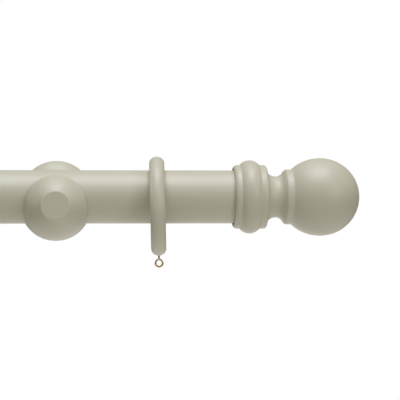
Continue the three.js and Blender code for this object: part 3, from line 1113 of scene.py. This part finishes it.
# %% [markdown]
# ## The rings
# One ring is turned with an oval section, drilled from below for its eye, and copied. The joint of each eye
# says where its shank enters the ring and which way it points, which gives the ring's place and its lean.

# %% Turn one ring and hang ten
ring_count = 10
ring_thickness = ring_outer - ring_bore
ring_width = 14.1
ring_swing = math.radians(-3.4)  # turned about the vertical, at most
swing_step = 1.7  # radians, from ring to ring
eye_thread_radius = 1.25
eye_in_ring = 8.5
ring_middle = ring_outer - ring_thickness / 2
ring_section = arc(ring_middle, 0, ring_thickness / 2, ring_width / 2, 0, 360, 56)
ring_section[-1] = ring_section[0]
master_ring = turned("ring", ring_section, paint_upright, along_x, sides=176)
eye_hole = (-ring_outer - overshoot, -ring_outer + eye_in_ring + clearance)
eye_drill = drill_bit("eye hole", eye_thread_radius + clearance, *eye_hole, Matrix.Identity(4), 24)
drilled(master_ring, eye_drill)


def hanging_places():
    """For each ring: its number, the place where the eye's shank enters it, and the way it hangs."""
    for number in range(1, ring_count + 1):
        joint = joints[f"screw_eye_{number:02d}_turn"]
        entry = Vector(joint["pos_m"])
        down = Vector(joint["axis"]).normalized()
        swing = Matrix.Rotation(ring_swing * math.cos((ring_count - number) * swing_step), 4, "Z")
        lean = Matrix.Rotation(math.atan2(-down.x, -down.z), 4, "Y")
        yield number, entry, down, lean @ swing


def hung_copy(master, name, place, node, slot):
    """A copy of a master piece, moved to its place. Its body has the same name as its plain solid."""
    mesh = master.data.copy()
    mesh.name = name
    mesh.transform(place)
    wears(add_object(name, mesh), node, slot, node)


for number, entry, down, lean in hanging_places():
    place = Matrix.Translation(entry - down * ring_outer * MM) @ lean
    hung_copy(master_ring, f"curtain_ring_{number:02d}", place, f"ring_{number:02d}", "painted_wood")
bpy.data.objects.remove(master_ring)

# %% [markdown]
# ## The screw eyes
# A screw eye is one piece of brass wire: a pointed and threaded shank, a short neck, then a bend and almost
# a full turn. The second tree follows a path with a round section, scales it by the attribute "width" to
# make the point, and raises the thread where the attribute "thread" says.

# %% Build the wire tree
def build_wire():
    """Sweeps a round section along a path, and raises a thread where the path is marked for one."""
    inputs = {"Wire Radius": 0.001, "Sides": 16, "Thread Pitch": 0.001, "Thread Height": 0.0003}
    tree, given, result = new_shaper("bent wire", inputs)
    path = result_of(tree, "GeometryNodeMeshToCurve", {0: given["Geometry"]})
    named = "GeometryNodeInputNamedAttribute"
    width = result_of(tree, named, {"Name": "width"}, data_type="FLOAT")
    section = {"Resolution": given["Sides"], "Radius": given["Wire Radius"]}
    circle = result_of(tree, "GeometryNodeCurvePrimitiveCircle", section, mode="RADIUS")
    swept = {"Curve": path, "Profile Curve": circle, "Scale": width, "Fill Caps": True}
    wire = result_of(tree, "GeometryNodeCurveToMesh", swept)
    spot = result_of(tree, "GeometryNodeInputPosition")
    split = add_node(tree, "ShaderNodeSeparateXYZ", {0: spot}).outputs
    around = calc(tree, "DIVIDE", calc(tree, "ARCTAN2", split[1], split[0]), 2 * math.pi)
    cut = thread_cut(tree, around, split[2], given["Thread Pitch"])
    thread = result_of(tree, named, {"Name": "thread"}, data_type="FLOAT")
    rise = times(tree, calc(tree, "SUBTRACT", 1.0, cut), thread)
    rise = times(tree, rise, given["Thread Height"])
    out = result_of(tree, "ShaderNodeCombineXYZ", {0: split[0], 1: split[1], 2: 0.0})
    out = result_of(tree, "ShaderNodeVectorMath", {0: out}, operation="NORMALIZE")
    push = result_of(tree, "ShaderNodeVectorMath", {0: out, 3: rise}, operation="SCALE")
    shaped = result_of(tree, "GeometryNodeSetPosition", {"Geometry": wire, "Offset": push})
    finish_tree(tree, given, result, shaped)
    return tree


wire_tree = build_wire()

# %% Bend one eye and screw in ten
eye_wire = 0.9
eye_loop = 4.25
eye_neck = 2.9
eye_point = 2.0
eye_step = 0.2  # between points of the path
loop_radius = eye_loop - eye_wire
loop_drop = eye_neck + eye_loop  # from the ring's surface to the middle of the loop
loop_gap = 9.0  # degrees left open at the wire's end
eye_bend = 1.6  # radius of the bend below the neck
eye_pitch = 1.1
eye_runout, eye_fade = 0.6, 1.0  # where the thread starts above the ring's surface, and how it grows
tip_width = 0.08  # shares of the full width
end_width, end_fade = 0.75, 0.4  # the cut end of the loop is a little rounded


def eye_path():
    """Points of the wire from the tip of the shank down to the neck and round the loop, in millimetres."""
    shank_low = eye_bend - loop_drop + loop_radius
    shank = [(0.0, z) for z in np.arange(eye_in_ring, shank_low, -eye_step)]
    start = math.degrees(math.asin(eye_bend / (loop_radius + eye_bend)))
    turns = np.radians(np.arange(90 - start, 90 - 360 + loop_gap, -math.degrees(eye_step / loop_radius)))
    loop = [(loop_radius * math.cos(a), loop_radius * math.sin(a) - loop_drop) for a in turns]
    corner = np.array([shank[-1], (0.0, loop_radius - loop_drop + eye_bend / 3), loop[0]])
    shares = np.linspace(0, 1, 10)[1:-1]
    pulls = [((1 - s) ** 2, 2 * s * (1 - s), s * s) for s in shares]
    elbow = [tuple(np.array(pull) @ corner) for pull in pulls]
    return shank + elbow + loop


def eye_mesh():
    """The wire's path as a chain of edges, marked with its thread and its width."""
    path = eye_path()
    mesh = bpy.data.meshes.new("eye path")
    chain = [(i, i + 1) for i in range(len(path) - 1)]
    mesh.from_pydata([(x * MM, 0.0, z * MM) for x, z in path], chain, [])
    height = np.array([z for _, z in path])
    from_tip = (eye_in_ring - height) / eye_point
    thread = np.clip((height - eye_runout) / eye_fade, 0, 1) * np.clip(from_tip, 0, 1)
    from_end = np.arange(len(path))[::-1] * eye_step / end_fade
    width = np.clip(from_tip, tip_width, 1) * np.clip(from_end, end_width, 1)
    write_marks(mesh, {"thread": thread, "width": width})
    return mesh


sizes = {
    "Wire_Radius": eye_wire * MM,
    "Sides": 20,
    "Thread_Pitch": eye_pitch * MM,
    "Thread_Height": (eye_thread_radius - eye_wire) * MM,
}
master_eye = made_by(wire_tree, "eye", eye_mesh(), brass, Matrix.Identity(4), **sizes)
for number, entry, down, lean in hanging_places():
    place = Matrix.Translation(entry) @ lean
    hung_copy(master_eye, f"wire_screw_eye_{number:02d}", place, f"screw_eye_{number:02d}", "brass")
bpy.data.objects.remove(master_eye)

# %% [markdown]
# ## Floor, background and light
# The world is white only to the camera and dimmer to everything else, so that the lights do the modelling.
# The floor is a pale disc far below, whose rim fades away so that no horizon shows.

# %% Background
world = bpy.data.worlds.new("studio")
bpy.context.scene.world = world
world.use_nodes = True
sky = world.node_tree
white = (1.0, 1.0, 1.0, 1.0)
ambient = (0.150, 0.130, 0.085, 1.0)
seen = sky.nodes["Background"]
straight = add_node(sky, "ShaderNodeLightPath").outputs["Is Camera Ray"]
sky.links.new(mix_colours(sky, straight, ambient, white), seen.inputs["Color"])
bpy.context.scene.view_settings.view_transform = "Standard"

# %% Floor
floor_drop = 0.8
floor_radius = 3.0
fade_from = 0.45  # share of the radius where the floor starts to fade
floor_mesh = bpy.data.meshes.new("floor")
disc = bmesh.new()
bmesh.ops.create_circle(disc, cap_ends=True, radius=floor_radius, segments=96)
disc.to_mesh(floor_mesh)
disc.free()
floor = add_object("floor", floor_mesh)
floor.location = (0.0, 0.0, -floor_drop)
pale = {"Base Color": (0.82, 0.82, 0.80, 1.0), "Roughness": 0.8}
floor_paint, tree, shader = new_material("pale floor", pale)
middle = add_node(tree, "ShaderNodeTexCoord").outputs["Object"]
distance = add_node(tree, "ShaderNodeVectorMath", {0: middle}, operation="LENGTH").outputs["Value"]
fade = {0: distance, 1: floor_radius, 2: floor_radius * fade_from}
solid = result_of(tree, "ShaderNodeMapRange", fade, interpolation_type="SMOOTHSTEP")
tree.links.new(solid, shader.inputs["Alpha"])
floor_mesh.materials.append(floor_paint)

# %% [markdown]
# One large box hangs overhead. A weaker one stands to the right, so that the rings' shadows fall to their
# left. A box far to the left draws the soft rim on the ball and the cup, and three weak ones from below lift
# the undersides, as a white table would.

# %% Lights
def soft_box(name, turn, rise, distance, size, power, colour=(1.0, 1.0, 1.0)):
    """A square lamp that faces the aim point. It stands to the right of the camera by one angle and above
    the level by the other, both in degrees. Distance and size are in metres."""
    data = bpy.data.lights.new(name, "AREA")
    data.shape = "SQUARE"
    data.size = size
    data.energy = power
    data.color = colour
    spin = Matrix.Rotation(math.radians(turn), 3, "Z") @ Matrix.Rotation(math.radians(-rise), 3, "X")
    away = Matrix.Rotation(-camera_turn, 3, "Z") @ spin @ Vector((0, -1, 0))
    lamp = add_object(name, data)
    lamp.location = aim + away * distance
    lamp.rotation_euler = away.to_track_quat("Z", "Y").to_euler()


cool = (0.89, 0.93, 1.0)
warm = (1.0, 0.94, 0.5)
soft_box("overhead", 0, 75, 4.0, 3.0, 210.0, cool)
soft_box("right key", 45, 15, 4.0, 1.4, 35.0, (0.94, 0.95, 1.0))
soft_box("left rim", -105, 15, 4.0, 1.4, 35.0)
soft_box("low right", 40, -30, 1.2, 0.6, 0.25, cool)
soft_box("low front", 0, -30, 1.2, 0.6, 0.6, warm)
soft_box("low back", 180, -25, 1.2, 0.8, 1.5)
